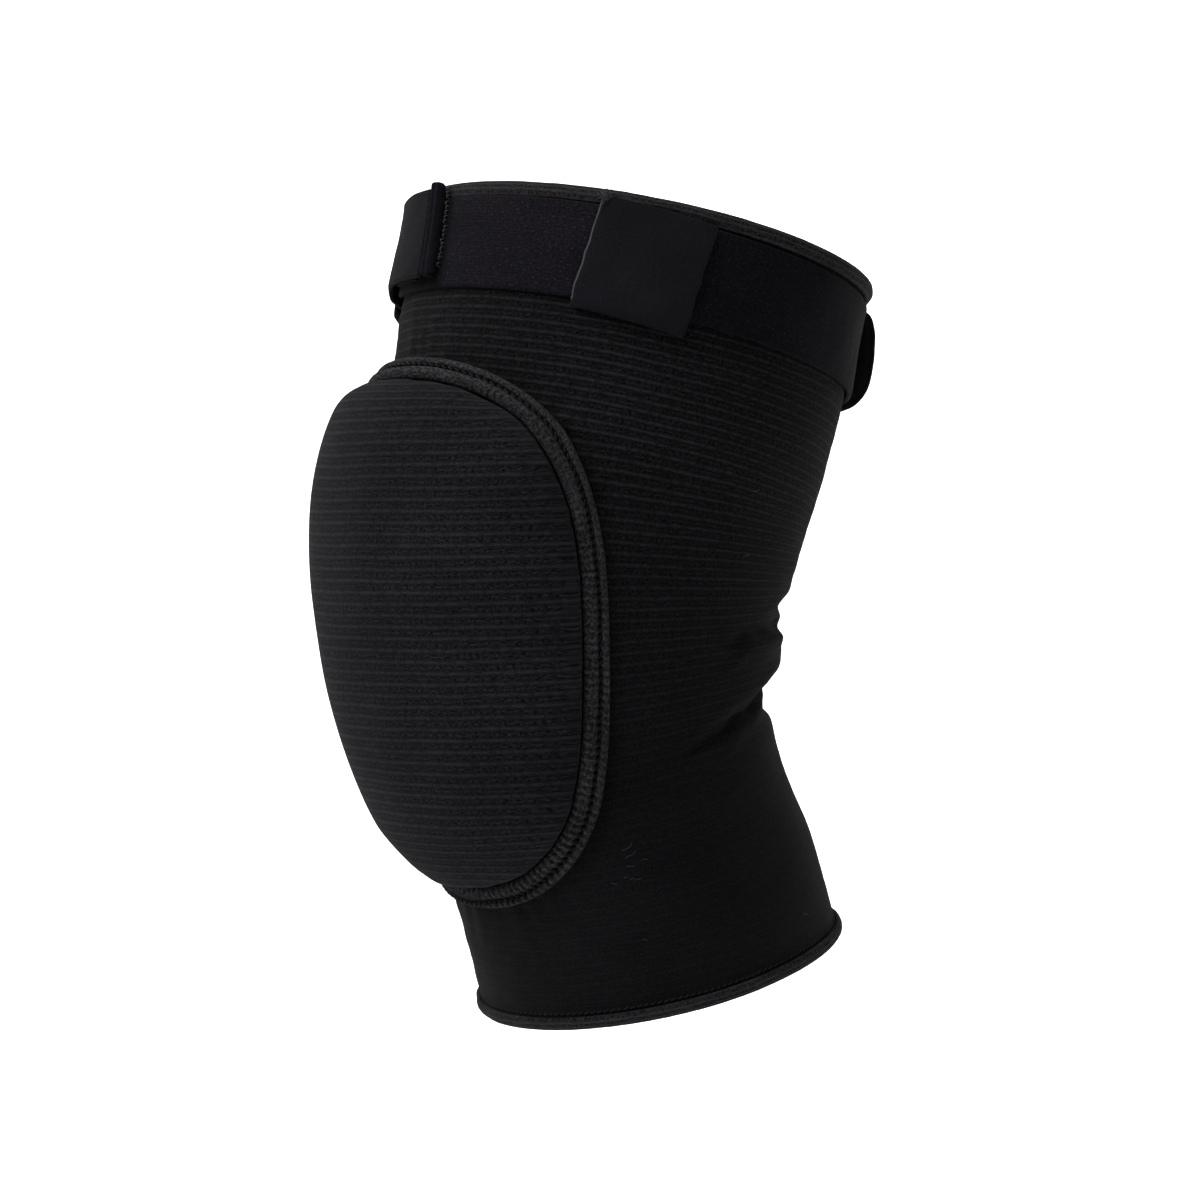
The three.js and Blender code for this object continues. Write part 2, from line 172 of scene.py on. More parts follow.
def surface(name, points, lay):
    # points is a grid of places, or a stack of such grids, and lay the same grid of places on
    # the flat cloth. Places that meet are welded, which closes seams and poles, and a closed
    # surface is turned so that its volume is positive.
    points = points.reshape((-1,) + points.shape[-3:])
    count, rows, columns = points.shape[:3]
    flat = points.reshape(-1, 3)
    unused, first, weld = np.unique(np.round(flat, 4), axis=0, return_index=True,
                                    return_inverse=True)
    grid = np.arange(len(flat)).reshape(count, rows, columns)
    corners = np.stack([grid[:, :-1, :-1], grid[:, :-1, 1:], grid[:, 1:, 1:], grid[:, 1:, :-1]],
                       -1).reshape(-1, 4)
    joined = weld.reshape(-1)[corners]
    places = flat[first]
    a, b, c, d = (places[joined[:, i]] for i in range(4))
    if (np.cross(a, b) * c + np.cross(a, c) * d).sum() < 0:
        corners, joined = corners[:, ::-1], joined[:, ::-1]
    keep = joined != np.roll(joined, 1, axis=1)
    whole = keep.sum(1) >= 3
    corners, joined, keep = corners[whole], joined[whole], keep[whole]
    total = keep.sum(1)
    mesh = bpy.data.meshes.new(name)
    mesh.vertices.add(len(places))
    mesh.vertices.foreach_set("co", (places / 1000).astype(np.float32).ravel())
    mesh.loops.add(int(total.sum()))
    mesh.loops.foreach_set("vertex_index", joined[keep].astype(np.int32))
    mesh.polygons.add(len(total))
    mesh.polygons.foreach_set("loop_start", (np.cumsum(total) - total).astype(np.int32))
    mesh.update(calc_edges=True)
    layer = mesh.uv_layers.new(name="lay")
    layer.data.foreach_set("uv", lay.reshape(-1, 2)[corners[keep]].astype(np.float32).ravel())
    mesh.polygons.foreach_set("use_smooth", np.ones(len(total), bool))
    mesh.validate()
    piece = bpy.data.objects.new(name, mesh)
    bpy.context.collection.objects.link(piece)
    return piece


def slab(name, place, width, length, thickness, across, along):
    # a strip of cloth: place(a, b, side) with a across and b along from 0 to 1 and side from 0
    # on the inner face to 1 on the outer one. Its four edges are rounded: side leaves a half
    # by the square root of 1 - (1 - distance from the edge / corner radius) squared.
    corner = thickness / 2

    def steps(size, count):
        near = np.array([0, 0.08, 0.3, 0.6, 1]) * corner / size
        return np.r_[near, np.linspace(near[-1], 1 - near[-1], count)[1:-1], 1 - near[::-1]]

    def full(share, size):
        edge = np.minimum(np.minimum(share, 1 - share) * size / corner, 1)
        return np.sqrt(np.clip(1 - (1 - edge)**2, 0, 1))

    a, b = steps(width, across), steps(length, along)
    bulge = full(a, width)
    a, bulge, face = np.r_[a, a[::-1]], np.r_[bulge, bulge[::-1]], np.repeat([1, -1], len(a))
    a, b = np.meshgrid(a, b)
    side = 0.5 + 0.5 * face * bulge * full(b, length)
    return surface(name, place(a, b, side), np.stack([b * length, a * width], -1))


def strands(name, paths, radius, sides=6):
    # thread along each path: a round of the given radius square to the path, closed at its ends
    paths = np.asarray(paths, float)
    radius = np.broadcast_to(np.asarray(radius, float), paths.shape[:2])
    along = np.gradient(paths, axis=1)
    along /= np.linalg.norm(along, axis=-1, keepdims=True)
    aside = np.cross(along, np.array([0.31, 0.17, 0.93]))
    aside /= np.linalg.norm(aside, axis=-1, keepdims=True)
    up = np.cross(along, aside)
    turn = np.linspace(0, 2 * math.pi, sides + 1)
    size = radius[..., None, None]
    tube = paths[:, :, None] + size * (np.cos(turn)[:, None] * aside[:, :, None]
                                       + np.sin(turn)[:, None] * up[:, :, None])
    ends = np.repeat(paths[:, [0, -1], None], sides + 1, axis=2)
    tube = np.concatenate([ends[:, :1], tube, ends[:, 1:]], axis=1)
    lay = np.broadcast_to(np.stack(np.meshgrid(turn, np.arange(tube.shape[1])), -1),
                          tube.shape[:3] + (2,))
    return surface(name, tube, lay)


def dress(piece, finish, slot, *nodes):
    piece.data.materials.append(finish)
    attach(piece, "root")
    if nodes:
        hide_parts(*nodes)
    return piece


# Materials

class Wire:
    # a socket that can be added, multiplied and so on: each operation adds a Math node
    def __init__(self, finish, socket):
        self.finish, self.socket = finish, socket

    def join(self, operation, *values):
        return self.finish.node("ShaderNodeMath", {"operation": operation}, dict(enumerate(values)))

    def __add__(self, other): return self.join("ADD", self, other)
    def __sub__(self, other): return self.join("SUBTRACT", self, other)
    def __mul__(self, other): return self.join("MULTIPLY", self, other)
    def __pow__(self, other): return self.join("POWER", self, other)
    def __rsub__(self, other): return self.join("SUBTRACT", other, self)
    __radd__, __rmul__ = __add__, __mul__


class Finish:
    # one material while it is made; node() adds any node: its settings first, then its values
    def __init__(self, name, **uniform):
        self.material = bpy.data.materials.new(name)
        self.material.use_nodes = True
        self.tree = self.material.node_tree
        self.shader = next(n for n in self.tree.nodes if n.type == "BSDF_PRINCIPLED")
        for socket, value in uniform.items():
            self.shader.inputs[socket.replace("_", " ")].default_value = value

    def node(self, kind, settings=None, values=None, out=0):
        node = self.tree.nodes.new(kind)
        for key, value in (settings or {}).items():
            setattr(node, key, value)
        for key, value in (values or {}).items():
            self.plug(node.inputs[key], value)
        return Wire(self, node.outputs[out])

    def plug(self, socket, value):
        if isinstance(value, Wire):
            self.tree.links.new(value.socket, socket)
        else:
            socket.default_value = value

    def lay(self, scaleU=1, scaleV=1):
        # the place on the flat cloth, each way times its scale
        place = self.node("ShaderNodeUVMap", {"uv_map": "lay"})
        return self.node("ShaderNodeMapping", {}, {"Vector": place, "Scale": (scaleU, scaleV, 1)})

    def part(self, vector, number):
        return self.node("ShaderNodeSeparateXYZ", {}, {0: vector}, out=number)

    def noise(self, scaleU, scaleV, detail=1.5, rough=0.5):
        return self.node("ShaderNodeTexNoise", {"noise_dimensions": "2D"},
                         {"Vector": self.lay(scaleU, scaleV), "Scale": 1, "Detail": detail,
                          "Roughness": rough})

    def step(self, value, low, high, top=1):
        return self.node("ShaderNodeMapRange", {"interpolation_type": "SMOOTHSTEP"},
                         {"Value": value, "From Min": low, "From Max": high, "To Max": top})

    def tint(self, colour, tone):
        # the colour times a number that changes over the surface
        return self.node("ShaderNodeVectorMath", {"operation": "SCALE"},
                         {0: colour, "Scale": tone})

    def show(self, colour, height=None, distance=0.3, strength=1.0, **others):
        self.plug(self.shader.inputs["Base Color"], colour)
        if height is not None:
            bump = self.node("ShaderNodeBump", {}, {"Height": height, "Strength": strength,
                                                    "Distance": distance / 1000})
            self.plug(self.shader.inputs["Normal"], bump)
        for socket, value in others.items():
            self.plug(self.shader.inputs[socket.replace("_", " ")], value)
        return self.material


def wave(finish, value):
    # from 0 to 1 and back for each unit of value
    turn = value * (2 * math.pi)
    return finish.node("ShaderNodeMath", {"operation": "SINE"}, {0: turn}) * 0.5 + 0.5


def knitFinish(name, colour, pitch, relief, lines, flecks, second=0.3, fade=0):
    # courses across the leg: a light line on each crest, a fainter one between two crests,
    # and dark flecks in the valleys, where the stitches let the ground show; fade is the share
    # of the courses that is lost down the shin
    finish = Finish(name, Roughness=0.95, Specular_IOR_Level=0.02, Sheen_Weight=0.02,
                    Sheen_Roughness=0.5)
    up = finish.part(finish.lay(), 1)
    wander = (finish.noise(0.03, 0.05) - 0.5) * 1.0 + (finish.noise(0.3, 0.6, 2) - 0.5) * 0.6
    course = (up + wander) * (1 / pitch)
    rib = wave(finish, course)
    between = wave(finish, course + 0.5) ** 6
    broken = finish.step(finish.noise(0.55, 1.0 / pitch, 2, 0.6), 0.3, 0.6) * 0.75 + 0.25
    strong = finish.step(up, -75, 60, fade) + (1 - fade)
    line = (rib ** 4 + between * second) * broken * strong
    speck = finish.step(finish.noise(1.15, 1.6, 2.5, 0.65), 0.37, 0.56)
    valley = 1 - (1 - speck) * (1 - rib ** 2 * strong) * ((strong * 0.6 + 0.4) * flecks)
    # painted glints: highlight specks in the base colour
    glint = finish.step(finish.noise(1.5, 1.9, 1), 0.66, 0.78)
    yarn = finish.noise(2.3, 2.9, 2, 0.6)
    patch = finish.noise(0.02, 0.03, 2)
    tone = (0.5 + line * lines + glint * 0.6) * valley * (yarn * 0.9 + 0.55) * (patch * 0.6 + 0.7)
    height = rib * strong * 0.5 + line * 0.3 + valley * 0.5 + yarn * 0.3
    return finish.show(finish.tint(colour, tone), height, relief)


def weltFinish(name, colour, ground):
    # fine knit on the ridges, with painted shade in the stitched groove at a third of the way over
    # and along both sides, where the welt meets the cup and the sleeve; ground is the place of the
    # two sides and of the groove
    finish = Finish(name, Roughness=0.95, Specular_IOR_Level=0.02, Sheen_Weight=0.02)
    over = finish.part(finish.lay(), 1)
    stitch = wave(finish, finish.part(finish.lay(), 0) * (1 / weltLook["stitch"]))
    near, far, groove = ground
    # painted shade along both sides, where the welt meets the cup and the sleeve
    side = finish.step(over, near + 0.4, near + 2) * (1 - finish.step(over, far - 2, far - 0.3))
    # painted shade in the groove, pulsing with the stitches
    grooveShade = (finish.step(over, groove - 1.5, groove - 0.5)
            * (1 - finish.step(over, groove + 0.5, groove + 1.5)))
    grain = finish.step(finish.noise(0.9, 1.3, 2, 0.65), 0.3, 0.7)
    patch = finish.noise(0.06, 0.2, 2)
    bead = (1 - stitch) * 0.5 + 0.7
    tone = (side * 0.85 + 0.15) * (1 - grooveShade * (stitch * 0.3 + 0.6)) * (grain * 1.0 + 0.35) * bead
    return finish.show(finish.tint(colour, tone * (patch * 0.8 + 0.6)), grain, 0.3)


def elasticFinish(name, colour, dark):
    # brushed elastic: specks of pile on a fine warp and painted glints; painted shade makes it
    # darker by the share dark where the strap runs round to the side, and a painted shadow makes it
    # darkest in the gap beside the folded end
    finish = Finish(name, Roughness=0.9, Specular_IOR_Level=0.02, Sheen_Weight=0.02,
                    Sheen_Roughness=0.5)
    place = finish.lay()
    warp = wave(finish, finish.part(place, 1) * (1 / 1.05) + finish.noise(0.02, 0.1) * 0.5)
    grain = finish.step(finish.noise(1.1, 1.3, 2.5, 0.65), 0.25, 0.75)
    glint = finish.step(finish.noise(0.9, 1.0, 1), 0.62, 0.74)
    patch = finish.noise(0.03, 0.06, 2)
    far = finish.part(place, 0)
    # painted shadow of the folded end, on the strap beside it
    gap = finish.step(far + finish.part(place, 1) * 0.194, 36, 40.5) * 0.75 + 0.25
    # painted shade where the strap runs round to the side, times the painted shadow
    shade = (1 - finish.step(far, 96, 132, dark)) * gap
    tone = (warp * 0.1 + grain * 0.9 + glint * 1.1 + 0.35) * (patch * 0.7 + 0.65) * shade
    return finish.show(finish.tint(colour, tone), warp * 0.3 + grain * 0.5, 0.14)


def loopFinish(name, colour, grain, relief):
    # napped cloth: curled pile as specks of two sizes
    finish = Finish(name, Roughness=0.95, Specular_IOR_Level=0.02, Sheen_Weight=0.02,
                    Sheen_Roughness=0.5)
    curl = finish.noise(grain, grain, 3, 0.65)
    tuft = finish.step(finish.noise(grain * 0.45, grain * 0.5, 2), 0.35, 0.65)
    patch = finish.noise(0.05, 0.06, 2)
    tone = (curl * 1.3 + 0.2) * (tuft * 0.2 + 0.9) * (patch * 0.5 + 0.75)
    return finish.show(finish.tint(colour, tone), curl + tuft * 0.2, relief)


def threadFinish(name, colour):
    # spun thread: a twist round each strand
    finish = Finish(name, Roughness=0.7, Specular_IOR_Level=0.1)
    place = finish.lay()
    twist = wave(finish, finish.part(place, 0) * 0.5 + finish.part(place, 1) * 0.8)
    return finish.show(finish.tint(colour, twist * 0.5 + 0.75), twist, 0.05)


def grey(level, blue=1.0):
    # a linear colour from the level of grey that a picture shows, from 0 to 255
    value = (level / 255 + 0.055) / 1.055
    return value**2.4, value**2.4 * (0.5 + 0.5 / blue), value**2.4 * blue


knit = knitFinish("ribbed knit", grey(25, 1.09), 3.1, 0.3, 0.85, 0.85, 0.65, 0.75)
cupKnit = knitFinish("cup knit", grey(33, 1.13), 3.6, 0.27, 0.5, 0.8, 0.9)
hemKnit = knitFinish("hem knit", grey(48, 1.06), 1.6, 0.25, 0.4, 0.8)
# 0.3 is the share of painted shade where the strap runs round to the side
elastic = elasticFinish("strap elastic", grey(17, 1.28), 0.3)
foldElastic = loopFinish("fold elastic", grey(14, 1.3), 1.2, 0.14)
hookCloth = loopFinish("hook tape", grey(13), 1.8, 0.25)
loopCloth = loopFinish("loop cloth", grey(22, 1.18), 2.4, 0.2)
thread = threadFinish("dark thread", grey(30, 1.1))
paleThread = threadFinish("pale thread", grey(56, 1.05))
print("materials: made")


# The sleeve: the leg's own surface with creases and small waves, and an inner face

sleeveLook = {"wall": 2, "fit": 0.3, "leaf": 1.4, "rows": 270, "around": 240, "innerRows": 60,
              "wave": 0.32, "pucker": 0.75, "puckerReach": 14, "radius": 65, "foldRadius": 62,
              "deepest": -2.8, "highest": 1.5}
# fine creases: station behind the knee, sink, half width, spread round, lift to the sides
fineCreases = [(-47, 0.6, 2.2, 45, 10), (-28, 2.6, 3.2, 85, -9), (-7, 2.4, 3.4, 68, 2),
               (9, 0.7, 2.4, 50, -9), (-18, 0.9, 1.8, 34, 3), (22, 0.35, 2.6, 40, -8)]
# folds at the sides: from a station and angle to a station and angle, sink and half width
sideFolds = [(-30, 132, -42, 80, 1.4, 2.4), (-4, 140, -9, 98, 1.6, 3), (50, 38, 45, 62, 0.8, 1.6),
             (35, 55, 27, 78, 0.7, 1.6)]

cupShape = {"station": -6.5, "height": 147, "girth": 136.5, "rise": 26, "edge": 2,
            "squareness": 2.4, "taper": 0.13, "fullness": 0.22, "power": 1.9, "round": 0.42,
            "soft": 0.2, "ledge": 7, "toe": 1.5, "bedding": 0.6, "welt": 8}


def outline(turn):
    # a superellipse on the flat sleeve, wider at its top: girth and station from its middle
    def bow(value):
        return np.sign(value) * abs(value)**(2 / cupShape["squareness"])

    up = cupShape["height"] / 2 * bow(np.cos(turn))
    taper = 1 + cupShape["taper"] * 2 * up / cupShape["height"]
    return np.stack([cupShape["girth"] / 2 * bow(np.sin(turn)) * taper, up], -1)


def insetOutline(turn, inset):
    # the outline moved inwards, square to itself
    along = outline(turn + 0.01) - outline(turn - 0.01)
    along = along / np.linalg.norm(along, axis=-1, keepdims=True)
    inward = np.stack([along[..., 1], -along[..., 0]], -1)
    return outline(turn) + inward * np.asarray(inset)[..., None]


def ledgeAt(turn):
    # how much higher the cup's edge and the welt stand: most in the middle of the top
    return np.where(np.cos(turn) > 0, cupShape["ledge"], cupShape["toe"]) * np.cos(turn)**2


def onFlat(flat, height):
    station = cupShape["station"] + flat[..., 1]
    half, front, unused = sectionAt(station)
    return onLeg(station, flat[..., 0] / ((half + front) / 2), height)


def pastWelt(station, angle):
    # roughly how far a place on the sleeve is outside the welt, and its turn round the cup
    half, front, unused = sectionAt(station)
    up = station - cupShape["station"]
    side = angle * (half + front) / 2
    taper = 1 + cupShape["taper"] * 2 * np.clip(up, -74, 74) / cupShape["height"]
    power = cupShape["squareness"]
    share = (abs(side / (cupShape["girth"] / 2 * taper))**power
             + abs(up / (cupShape["height"] / 2))**power)**(1 / power)
    return (share - 1) * 70, np.arctan2(side, up)


def sleeveRelief(station, angle):
    # small waves, fine creases behind the knee, and puckers that run out from the welt
    side, ahead = np.sin(angle) * sleeveLook["radius"], np.cos(angle) * sleeveLook["radius"]
    wrapped = np.arctan2(np.sin(angle), np.cos(angle))
    relief = sleeveLook["wave"] * (ripple(side, station * 1.6 + ahead * 0.6, 26, 3) * 0.6
                                   + ripple(side, station * 2.2 + ahead * 0.6, 11, 4) * 0.3)
    relief = relief * (0.45 + 0.55 * np.cos(wrapped / 2)**2)
    fromBack = math.pi - abs(wrapped)
    for at, sink, reach, spread, lift in fineCreases:
        wide = fromBack / math.radians(spread)
        up = (station - at - lift * wide**2 - 1.2 * ripple(side, ahead, 30, at + 90)) / reach
        relief = relief - sink * np.exp(-up**2 - wide**2) * (1 + 0.4 * ripple(side, ahead, 18, 7))
        relief = relief + 0.4 * sink * np.exp(-(up - 2)**2 - wide**2)
    for fromUp, fromTurn, toUp, toTurn, sink, width in sideFolds:
        # a groove on the straight line between the two places, with a lip on one side of it
        radius = sleeveLook["foldRadius"]
        step = np.array([math.radians(toTurn - fromTurn) * radius, toUp - fromUp])
        reach = math.hypot(*step)
        step = step / reach
        x, y = (abs(wrapped) - math.radians(fromTurn)) * radius, station - fromUp
        run, off = x * step[0] + y * step[1], (y * step[0] - x * step[1]) / width
        bow = off + 0.5 * ripple(run, 0 * run, 20, 15)
        taper = smooth(run, -9, 6) * smooth(reach - run, -9, 8) * sink
        relief = relief + taper * (0.5 * np.exp(-((bow - 2) / 1.2)**2) - np.exp(-bow**2))
    past, turn = pastWelt(station, wrapped)
    near = np.exp(-np.maximum(past, 0) / sleeveLook["puckerReach"])
    pull = np.sin(turn * 46 + 3 * np.sin(turn * 7) + 1.3 * np.sin(turn * 17 + 1))
    return relief + sleeveLook["pucker"] * near * pull * 0.4 * (past > -9)


def makeSleeve():
    # rows go up the outer face and down the inner one, which sinks with the outer one's creases
    low = -leg["shinLength"] + sleeveLook["leaf"] + sleeveLook["fit"]
    high = leg["thighLength"] - sleeveLook["leaf"] - sleeveLook["fit"]
    angle = np.linspace(0, 2 * math.pi, sleeveLook["around"] + 1)
    up = np.linspace(low, high, sleeveLook["rows"])
    down = np.linspace(high, low, sleeveLook["innerRows"])
    station, turn = np.meshgrid(np.r_[up, down, low], angle, indexing="ij")
    held = smooth(station, low, low + 6) * smooth(high - station, 0, 4)
    height = np.clip(sleeveRelief(station, turn), sleeveLook["deepest"], sleeveLook["highest"])
    height = height * held
    inner = slice(len(up), None)
    height[inner] = np.minimum(height[inner], 0) - sleeveLook["wall"]
    height[inner] += 0.1 * ripple(np.sin(turn) * 60, station + np.cos(turn) * 60, 14, 5)[inner]
    height[-1] = height[0]
    return surface("knit_sleeve", onLeg(station, turn, height),
                   np.stack([turn * sleeveLook["radius"], station], -1))


sleeve = dress(makeSleeve(), knit, "ribbed_knit", "sleeve")
print("sleeve: made")


# The hems: a folded edge over each rim

hemLook = {"leaf": 1.4, "fit": 0.3, "wall": 2, "thighHeight": 4.5, "shinHeight": 4.2,
           "thighRadius": 75, "shinRadius": 57, "around": 300, "waver": 0.22}


def closedCurve(points, steps):
    # a smooth closed curve through the points, by cubics whose slopes join the neighbours
    points = np.asarray(points, float)
    at = np.linspace(0, len(points), len(points) * steps + 1)
    row = np.floor(at).astype(int)
    t = (at - row)[:, None]
    a, b = points[row % len(points)], points[(row + 1) % len(points)]
    slopeA = (b - points[(row - 1) % len(points)]) / 2
    slopeB = (points[(row + 2) % len(points)] - a) / 2
    return (a * (2 * t**3 - 3 * t**2 + 1) + b * (3 * t**2 - 2 * t**3)
            + slopeA * (t**3 - 2 * t**2 + t) + slopeB * (t**3 - t**2))


def makeHem(name, edge, inward, height, seed):
    # the profile of a U of cloth over the rim, rolled round the leg and a little uneven
    leaf = hemLook["leaf"]
    outer = hemLook["fit"] + leaf
    inner = -hemLook["wall"] - hemLook["fit"] - leaf
    profile = closedCurve([
        (height, outer - 0.25 * leaf), (0.72 * height, outer + 0.12 * leaf),
        (0.4 * height, outer + 0.15 * leaf), (0.1 * leaf, outer - 0.5 * leaf),
        (-0.1, (outer + inner) / 2), (0.1 * leaf, inner + 0.5 * leaf),
        (0.5 * height, inner), (height, inner + 0.3 * leaf),
        (height, inner + 0.9 * leaf), (leaf, inner + leaf),
        (leaf, outer - leaf), (height, outer - 0.95 * leaf)], 4)
    angle = np.linspace(0, 2 * math.pi, hemLook["around"] + 1)
    fall, turn = np.meshgrid(profile[:, 0], angle, indexing="ij")
    off = np.broadcast_to(profile[:, 1:], fall.shape)
    wobble = hemLook["waver"] * (ripple(np.cos(turn) * 70, np.sin(turn) * 70, 16, seed)
                                 + 0.5 * ripple(np.cos(turn) * 70, np.sin(turn) * 70, 5, seed + 1))
    outside = smooth(off, -1, 1)
    girth = turn * hemLook["thighRadius" if inward > 0 else "shinRadius"]
    return surface(name, onLeg(edge - inward * (fall + 0.5 * wobble), turn, off + wobble * outside),
                   np.stack([girth, fall + off * 0.5], -1))


thighHem = dress(makeHem("thigh_hem_roll", leg["thighLength"], 1, hemLook["thighHeight"], 21),
                 hemKnit, "hem_knit", "thigh_hem")
shinHem = dress(makeHem("shin_hem_roll", -leg["shinLength"], -1, hemLook["shinHeight"], 31),
                hemKnit, "hem_knit", "shin_hem")
print("hems: made")


# The padded cup

cupLook = {"grid": 88, "pressure": 4, "frames": 20, "cap": 1.6, "dimple": 0.55, "levels": 1}


def cupPlaces():
    # a square grid drawn onto the cup's outline: the ring of a grid point is the larger of its
    # two distances, its turn is shared out along that ring, and the sine of the ring spreads
    # the rings. The dome rises by (1 - share^power)^gentle, where gentle grows to the sides,
    # from an edge that is higher at the top, and the underside lies on the sleeve.
    count = cupLook["grid"]
    a, b = np.meshgrid(np.linspace(-1, 1, count + 1), np.linspace(-1, 1, count + 1))
    ring = np.maximum(abs(a), abs(b))
    safe = np.where(ring == 0, 1, ring)
    wide = abs(b) >= abs(a)
    turn = np.where(wide, np.where(b > 0, a / safe, 4 - a / safe),
                    np.where(a > 0, 2 - b / safe, 6 + b / safe)) * math.pi / 4
    share = np.sin(ring * math.pi / 2)
    flat = insetOutline(turn, np.full(turn.shape, cupShape["welt"] + 0.3)) * share[..., None]
    full = 1 + cupShape["fullness"] * 2 * flat[..., 1] / cupShape["height"]
    gentle = cupShape["round"] + cupShape["soft"] * np.sin(turn)**2
    dome = np.clip(1 - share**cupShape["power"], 0, 1)**gentle
    edge = cupShape["edge"] + ledgeAt(turn)
    rise = edge + (cupShape["edge"] + cupShape["rise"] * full - edge) * dome
    low = np.where(ring == 1, rise, cupShape["bedding"])
    return flat, rise, low


def makeCup():
    flat, rise, low = cupPlaces()
    station = cupShape["station"] + flat[..., 1]
    half, front, unused = sectionAt(station)
    angle = flat[..., 0] / ((half + front) / 2)
    bend = math.radians(leg["thighLean"] + leg["shinLean"]) / leg["bend"]
    course = station * (1 + bend * (front + rise) * np.cos(angle))
    lay = np.stack([flat[..., 0] * (1 + rise / 70), course], -1)
    points = np.stack([onFlat(flat, rise), onFlat(flat, low)[:, ::-1]])
    return surface("cup_pad", points, np.stack([lay, lay[:, ::-1]]))


def cupRim(count):
    # places along the cup's edge, in metres
    turn = np.linspace(0, 2 * math.pi, count)
    edge = cupShape["edge"] + ledgeAt(turn)
    return onFlat(insetOutline(turn, np.full(count, cupShape["welt"] + 0.3)), edge) / 1000


def puff(piece, pinned):
    # a short cloth run under inner pressure; how far a vertex may move is capped
    mesh = piece.data
    before = np.empty(len(mesh.vertices) * 3, np.float32)
    mesh.vertices.foreach_get("co", before)
    before = before.reshape(-1, 3)
    group = piece.vertex_groups.new(name="pin")
    for number in np.flatnonzero(pinned):
        group.add([int(number)], 1.0, "REPLACE")
    cloth = piece.modifiers.new("cloth", "CLOTH")
    cloth.settings.use_pressure = True
    cloth.settings.uniform_pressure_force = cupLook["pressure"]
    cloth.settings.vertex_group_mass = "pin"
    cloth.settings.effector_weights.gravity = 0
    cloth.settings.quality = 4
    cloth.settings.mass = 0.4
    cloth.settings.tension_stiffness = cloth.settings.compression_stiffness = 25
    cloth.collision_settings.use_collision = False
    scene = bpy.context.scene
    for number in range(1, cupLook["frames"] + 1):
        scene.frame_set(number)
    shown = piece.evaluated_get(bpy.context.evaluated_depsgraph_get()).to_mesh()
    after = np.empty(len(mesh.vertices) * 3, np.float32)
    shown.vertices.foreach_get("co", after)
    piece.modifiers.remove(cloth)
    piece.vertex_groups.remove(group)
    scene.frame_set(1)
    move = after.reshape(-1, 3) - before
    far = np.linalg.norm(move, axis=1, keepdims=True)
    cap = cupLook["cap"] / 1000
    move = move * (cap * np.tanh(far / cap) / np.maximum(far, 1e-9))
    mesh.vertices.foreach_set("co", (before + move).ravel())
    mesh.update()
    print("cup: cloth moved it by up to", round(float(far.max()) * 1000, 2), "mm")


def cupRelief(piece):
    # seam dimples by the welt and broad unevenness, along the normals
    mesh = piece.data
    count = len(mesh.vertices)
    place, normal = np.empty(count * 3, np.float32), np.empty(count * 3, np.float32)
    mesh.vertices.foreach_get("co", place)
    mesh.vertex_normals.foreach_get("vector", normal)
    place, normal = place.reshape(-1, 3), normal.reshape(-1, 3)
    rim = cupRim(241)
    gap = np.sqrt(((place[:, None] - rim[None]) ** 2).sum(-1))
    near, which = gap.min(1) * 1000, gap.argmin(1) / 240 * 2 * math.pi
    pull = np.sin(which * 41 + 2.5 * np.sin(which * 6)) + 0.6 * np.sin(which * 23 + 2)
    lift = cupLook["dimple"] * 0.5 * pull * np.exp(-near / 8) * smooth(near, 0, 2.5)
    lift = lift + 0.28 * ripple(place[:, 0] * 1000 + place[:, 1] * 700, place[:, 2] * 1000, 34, 9)
    move = (lift / 1000)[:, None] * normal
    mesh.vertices.foreach_set("co", (place + move).astype(np.float32).ravel())
    mesh.update()


cup = makeCup()
spots = np.empty(len(cup.data.vertices) * 3, np.float32)
cup.data.vertices.foreach_get("co", spots)
apart = np.sqrt(((spots.reshape(-1, 3)[:, None] - cupRim(721)[None])**2).sum(-1)).min(1)
puff(cup, apart < 0.0025)
cupRelief(cup)
rounding = cup.modifiers.new("rounding", "SUBSURF")
rounding.levels = rounding.render_levels = cupLook["levels"]
dress(cup, cupKnit, "cup_knit", "knee_cup")
print("cup: made")


# The welt: two ridges with a stitched groove between them

weltLook = {"around": 1100, "stitch": 2.6, "pinch": 0.8, "height": 3.2}
weltProfile = [(1, 0), (0.985, 0.45), (0.9, 0.85), (0.74, 1.0), (0.58, 0.98), (0.47, 0.82),
               (0.38, 0.32), (0.32, 0.42), (0.24, 0.78), (0.13, 0.86), (0.04, 0.62), (0, 0.25),
               (0.02, 0), (0.5, -0.02)]


def weltLength(turn):
    # distance round the welt up to each turn, by adding up the steps
    line = onFlat(outline(turn), 1.0)
    return np.r_[0, np.cumsum(np.linalg.norm(np.diff(line, axis=0), axis=1))]


